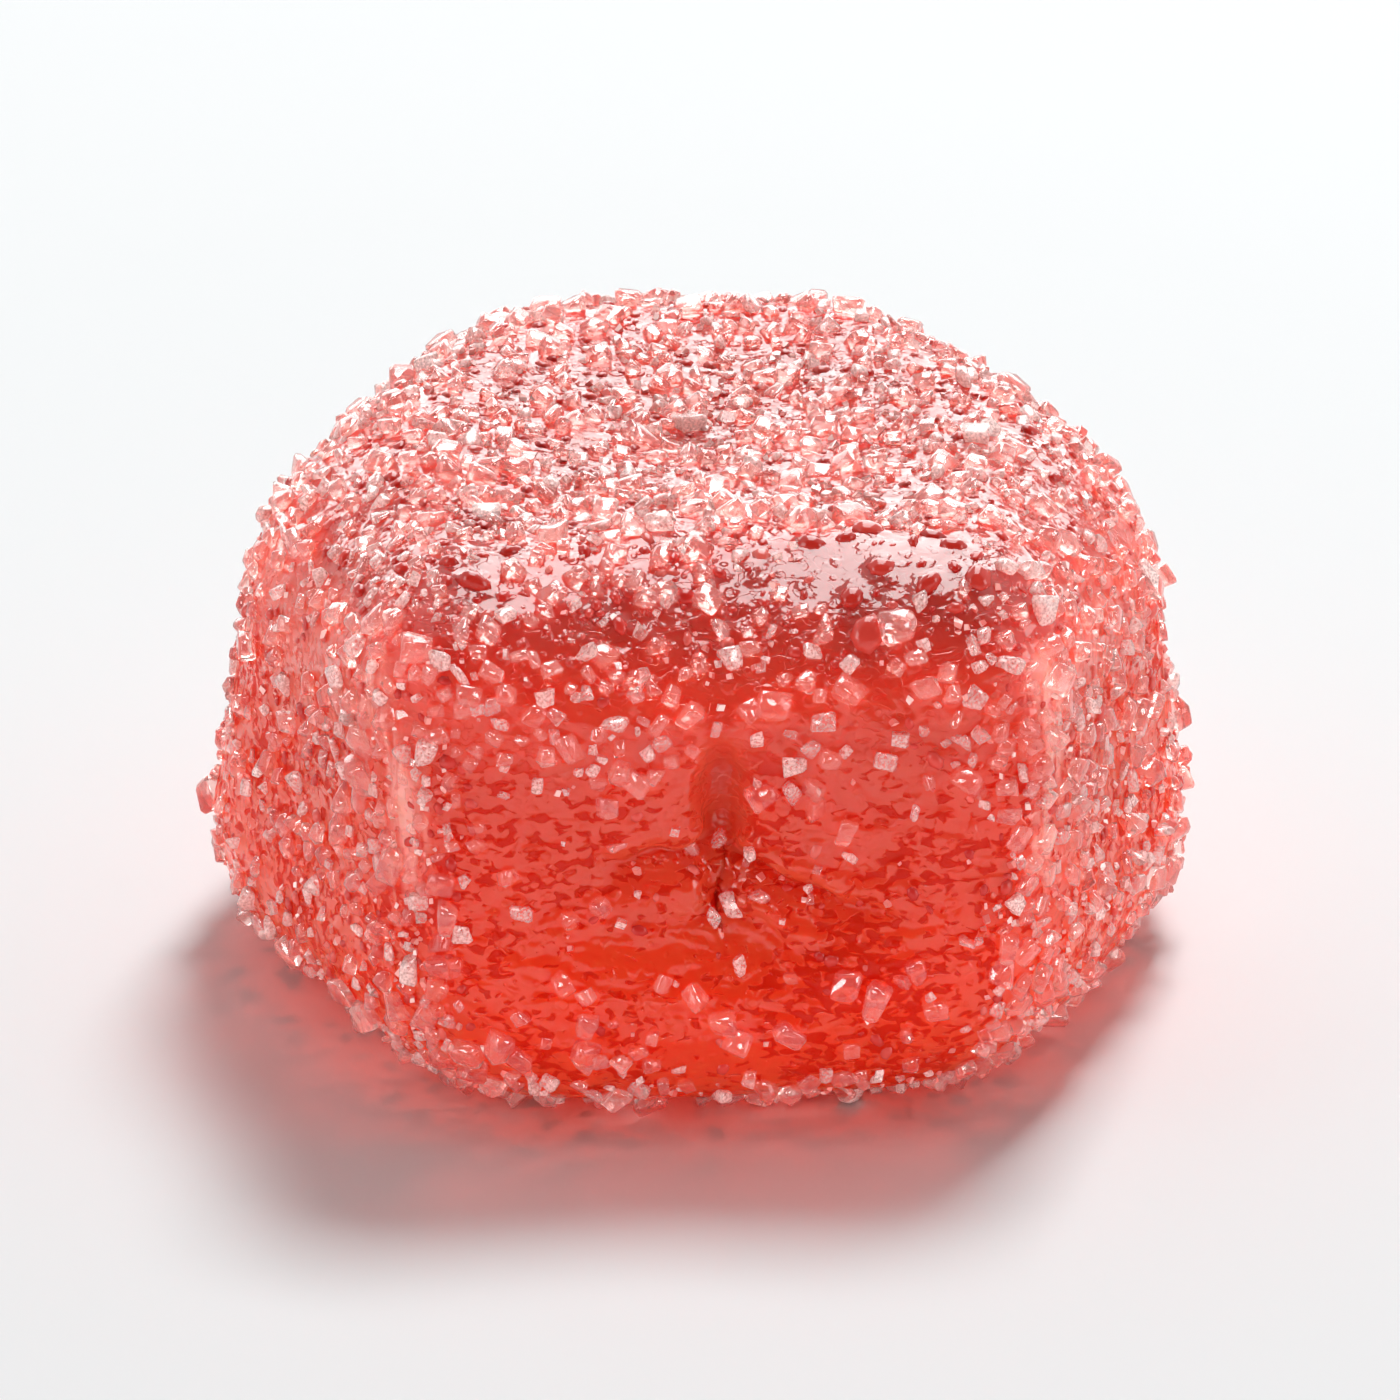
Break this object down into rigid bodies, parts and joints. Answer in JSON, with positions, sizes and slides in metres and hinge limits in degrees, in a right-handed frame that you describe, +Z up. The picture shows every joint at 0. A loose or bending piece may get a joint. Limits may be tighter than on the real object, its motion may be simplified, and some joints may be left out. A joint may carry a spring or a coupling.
{
  "type": "sugared gummy candy",
  "caption": "Rounded hexagonal red gummy sweet in a coat of sugar crystals, with sunken side panels, a dished top and a pinched front, resting on its flat foot.",
  "frame": {"origin": "middle of the box round the sweet, at the level of the flat foot that it rests on", "axes": "+Z up through the crown, -Y towards the pinched front panel, +X to the right seen from the front"},
  "size_m": [0.0246, 0.0256, 0.0137],
  "materials": {
    "gel": "moist translucent red fruit gel",
    "sugar": "clear to frosted granulated sugar crystals"
  },
  "bodies": {
    "root": {"gummy": "gel"}
  },
  "joints": []
}
